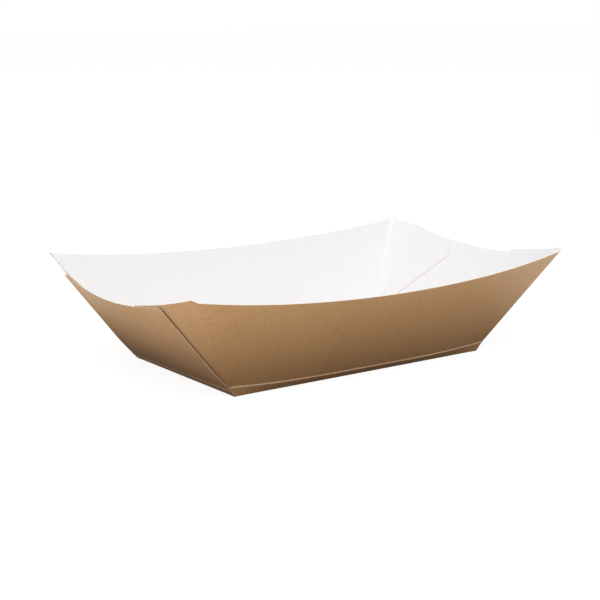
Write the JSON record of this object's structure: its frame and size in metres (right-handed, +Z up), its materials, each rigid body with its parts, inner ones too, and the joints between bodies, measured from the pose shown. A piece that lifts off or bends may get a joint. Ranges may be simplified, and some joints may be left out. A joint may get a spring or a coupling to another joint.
{
  "type": "paper food tray",
  "caption": "Open boat-shaped tray folded from one sheet of paperboard, with flared walls, dipped rims and glued corner flaps, brown outside and white inside.",
  "frame": {"origin": "centre of the base's underside, on the surface the tray stands on", "axes": "+X along the tray, +Y across it, +Z up through the open top"},
  "size_m": [0.2286, 0.1418, 0.0527],
  "materials": {
    "board": "uncoated kraft paperboard, white on its inner face"
  },
  "bodies": {
    "root": {"tray": "board"}
  },
  "joints": []
}
